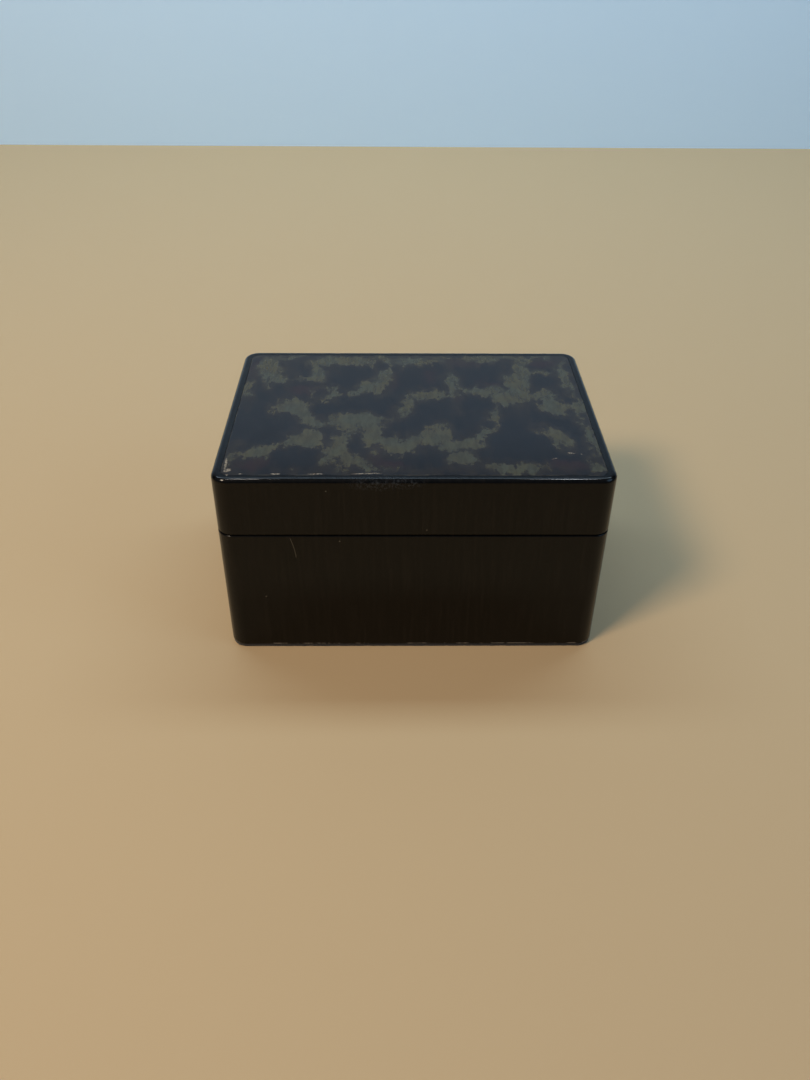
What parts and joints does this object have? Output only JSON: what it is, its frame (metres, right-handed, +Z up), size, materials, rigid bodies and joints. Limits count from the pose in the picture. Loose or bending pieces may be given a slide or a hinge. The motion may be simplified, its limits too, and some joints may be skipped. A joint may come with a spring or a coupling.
{
  "type": "rosin cake in hinged case",
  "caption": "Rectangular black lacquered case with rounded corners, an inlaid tortoiseshell lid panel and a rear-hinged lid, holding a cake of rosin on a cloth in a velvet cradle.",
  "frame": {"origin": "centre of the underside, on the surface the case stands on", "axes": "+Z up; -Y is the front, the hinges are at +Y; +X is the right, along the longer side"},
  "size_m": [0.1, 0.072, 0.055],
  "materials": {
    "black_lacquer": "high-gloss black lacquer, lightly worn",
    "tortoiseshell": "polished, dark blotches in a translucent olive-amber ground",
    "plain_board": "unfinished thin board",
    "velvet_lining": "short-pile burgundy velvet",
    "underside_felt": "black felt",
    "rosin_cloth": "buff cotton flannel",
    "rosin": "cast translucent amber resin, dusty where the bow has worn it",
    "hinge_brass": "polished brass"
  },
  "bodies": {
    "base": {"base_front_wall": "black_lacquer", "base_back_wall": "black_lacquer", "base_left_wall": "black_lacquer", "base_right_wall": "black_lacquer", "base_bottom_board": "plain_board", "underside_felt": "underside_felt", "front_liner": "velvet_lining", "back_liner": "velvet_lining", "left_liner": "velvet_lining", "right_liner": "velvet_lining", "cake_cradle": "velvet_lining", "rosin_cloth": "rosin_cloth", "rosin_cake": "rosin", "hinge_left_base_leaf": "hinge_brass", "hinge_right_base_leaf": "hinge_brass", "hinge_left_pin": "hinge_brass", "hinge_right_pin": "hinge_brass", "base_hinge_brads": "hinge_brass"},
    "lid": {"lid_front_rail": "black_lacquer", "lid_back_rail": "black_lacquer", "lid_left_rail": "black_lacquer", "lid_right_rail": "black_lacquer", "lid_top_board": "plain_board", "tortoiseshell_panel": "tortoiseshell", "lid_front_liner": "velvet_lining", "lid_back_liner": "velvet_lining", "lid_left_liner": "velvet_lining", "lid_right_liner": "velvet_lining", "lid_pad": "velvet_lining", "hinge_left_lid_leaf": "hinge_brass", "hinge_right_lid_leaf": "hinge_brass", "lid_hinge_brads": "hinge_brass"}
  },
  "joints": [
    {"name": "lid_hinge", "type": "hinge", "parent": "base", "child": "lid", "pos_m": [0, 0.034, 0.0383], "axis": [-1, 0, 0], "range_deg": [0, 98]}
  ]
}
